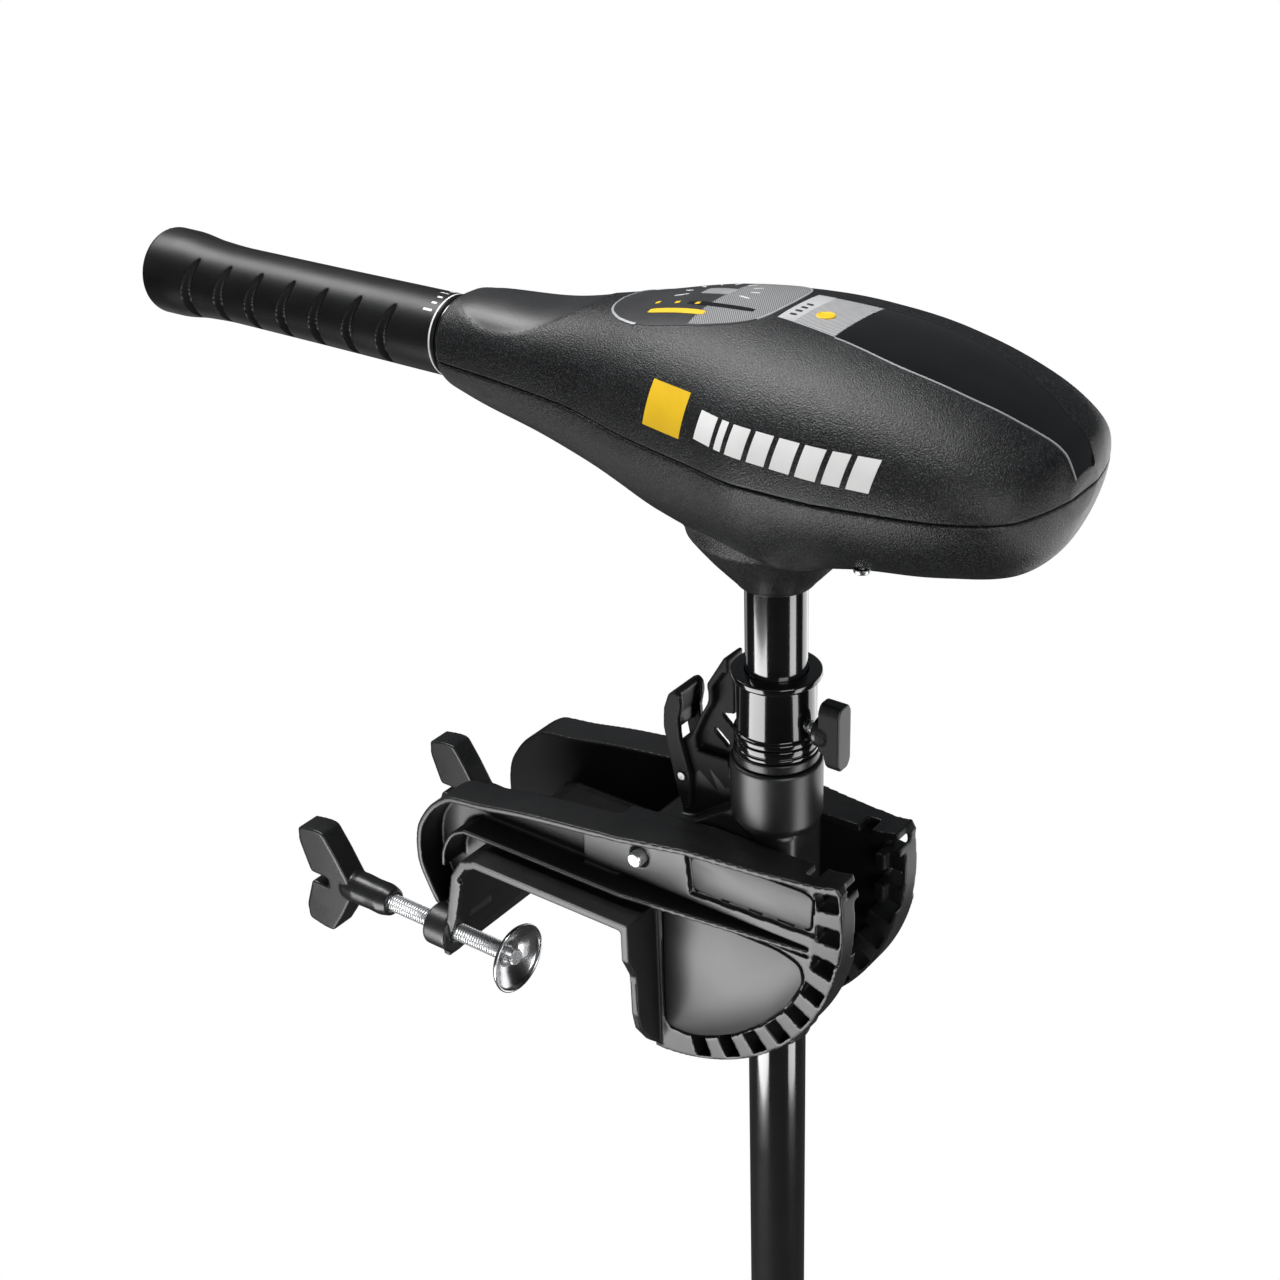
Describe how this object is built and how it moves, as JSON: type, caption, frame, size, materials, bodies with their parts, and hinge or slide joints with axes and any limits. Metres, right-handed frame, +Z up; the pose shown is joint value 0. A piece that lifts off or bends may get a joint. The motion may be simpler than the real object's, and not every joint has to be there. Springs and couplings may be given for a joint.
{
  "type": "transom-mount electric trolling motor",
  "caption": "Tiller-steered electric trolling motor: control head with twist grip, long shaft, depth collar, tilting transom clamp bracket and submerged motor with propeller.",
  "frame": {"origin": "middle of the flat underside of the transom seat, where the motor rests on the boat's transom", "axes": "+Z up along the shaft, +X astern (the propeller end), -X towards the boat and the tiller grip, +Y to starboard"},
  "size_m": [0.5524, 0.144, 1.1436],
  "materials": {
    "cover": "black moulded plastic with a fine speckled grain",
    "gloss": "gloss black plastic",
    "bracket": "black glass-filled plastic, satin",
    "rubber": "soft black grip rubber",
    "knob": "black moulded plastic, satin",
    "shaft": "black coated composite tube, semi-gloss",
    "zinc": "bright zinc plating",
    "chrome": "polished chrome",
    "steel": "plain steel",
    "label": "pale grey printed label",
    "dial": "dark printed label",
    "yellow": "yellow",
    "housing": "black powder coat",
    "magnet": "ferrite magnet",
    "copper": "copper",
    "core": "laminated iron",
    "carbon": "carbon brush",
    "nylon": "natural nylon",
    "board": "circuit board",
    "prop": "black moulded plastic"
  },
  "bodies": {
    "bracket": {"transom_bracket": "bracket", "pivot_pin": "zinc", "pivot_spacer_port": "nylon", "pivot_spacer_starboard": "nylon"},
    "tilt_assembly": {"tilt_bracket": "bracket", "upper_bushing": "knob", "thrust_ring": "gloss", "lower_bushing": "knob"},
    "tilt_lock": {"lock_bar": "steel", "lock_link": "steel"},
    "tilt_release": {"release_lever": "knob", "lever_pin": "steel", "lever_finger": "steel"},
    "collar": {"depth_collar": "gloss"},
    "collar_clamp": {"collar_screw": "zinc", "collar_knob": "knob"},
    "shaft_assembly": {"shaft_tube": "shaft", "head_upper_cover": "cover", "head_lower_cover": "cover", "head_insert": "gloss", "dial_plate": "dial", "meter_window": "label", "cover_screw_fore": "steel", "cover_screw_port": "steel", "cover_screw_starboard": "steel", "shaft_clamp_ring": "knob", "speed_switch": "knob", "control_board": "board", "terminal_block": "nylon", "battery_gauge": "dial", "motor_housing": "housing", "nose_cone": "housing", "rear_end_bell": "housing", "field_magnet_upper": "magnet", "field_magnet_lower": "magnet", "brush_plate": "knob", "brush_upper": "carbon", "brush_lower": "carbon", "shaft_seal": "rubber", "bearing_fore": "steel", "bearing_aft": "steel"},
    "battery_test": {"test_button": "yellow"},
    "tiller": {"tiller_tube": "gloss"},
    "twist_grip": {"grip": "rubber", "grip_end_cap": "knob", "twist_rod": "steel"},
    "rotor": {"motor_shaft": "steel", "armature_core": "core", "armature_winding_fore": "copper", "commutator": "copper", "drive_pin": "steel", "propeller": "prop", "prop_nut": "nylon"},
    "pad_port": {"clamp_pad_port": "chrome"},
    "screw_port": {"clamp_screw_port": "zinc", "clamp_knob_port": "knob"},
    "pad_starboard": {"clamp_pad_starboard": "chrome"},
    "screw_starboard": {"clamp_screw_starboard": "zinc", "clamp_knob_starboard": "knob"}
  },
  "joints": [
    {"name": "tilt", "type": "hinge", "parent": "bracket", "child": "tilt_assembly", "pos_m": [0.0243, 0, 0.027], "axis": [0, -1, 0], "range_deg": [0, 88.7]},
    {"name": "lock_slide", "type": "slide", "parent": "tilt_assembly", "child": "tilt_lock", "axis": [0.3188, 0, -0.9478], "range_m": [0, 0.0074]},
    {"name": "release_lever_turn", "type": "hinge", "parent": "tilt_assembly", "child": "tilt_release", "pos_m": [0.033, 0, 0.063], "axis": [0, 1, 0], "range_deg": [0, 17.5]},
    {"name": "steer", "type": "hinge", "parent": "tilt_assembly", "child": "collar", "pos_m": [0.08, 0, 0.106], "axis": [0, 0, 1], "range_deg": [-135, 135]},
    {"name": "collar_knob_turn", "type": "hinge", "parent": "collar", "child": "collar_clamp", "pos_m": [0.11, 0, 0.106], "axis": [1, 0, 0], "range_deg": [0, 720]},
    {"name": "depth", "type": "slide", "parent": "collar", "child": "shaft_assembly", "axis": [0, 0, 1], "range_m": [-0.0435, 0.54]},
    {"name": "battery_test_press", "type": "slide", "parent": "shaft_assembly", "child": "battery_test", "axis": [0, 0, -1], "range_m": [0, 0.0012]},
    {"name": "tiller_extend", "type": "slide", "parent": "shaft_assembly", "child": "tiller", "axis": [-1, 0, 0], "range_m": [0, 0.08]},
    {"name": "grip_twist", "type": "hinge", "parent": "tiller", "child": "twist_grip", "pos_m": [-0.21, 0, 0.256], "axis": [1, 0, 0], "range_deg": [-140, 140]},
    {"name": "prop_spin", "type": "hinge", "parent": "shaft_assembly", "child": "rotor", "pos_m": [0.08, 0, -0.706], "axis": [1, 0, 0], "continuous": true},
    {"name": "clamp_advance_port", "type": "slide", "parent": "bracket", "child": "pad_port", "axis": [1, 0, 0], "range_m": [-0.02699, 0.02857]},
    {"name": "clamp_turn_port", "type": "hinge", "parent": "pad_port", "child": "screw_port", "pos_m": [-0.12, -0.0534, -0.0505], "axis": [1, 0, 0], "range_deg": [-6121, 6481]},
    {"name": "clamp_advance_starboard", "type": "slide", "parent": "bracket", "child": "pad_starboard", "axis": [1, 0, 0], "range_m": [-0.02699, 0.02857]},
    {"name": "clamp_turn_starboard", "type": "hinge", "parent": "pad_starboard", "child": "screw_starboard", "pos_m": [-0.12, 0.0534, -0.0505], "axis": [1, 0, 0], "range_deg": [-6121, 6481]}
  ],
  "couplings": [
    {"joint": "lock_slide", "follows": "release_lever_turn", "m_per_rad": 0.02422},
    {"joint": "clamp_turn_port", "follows": "clamp_advance_port", "rad_per_m": 3957.9},
    {"joint": "clamp_turn_starboard", "follows": "clamp_advance_starboard", "rad_per_m": 3957.9}
  ]
}
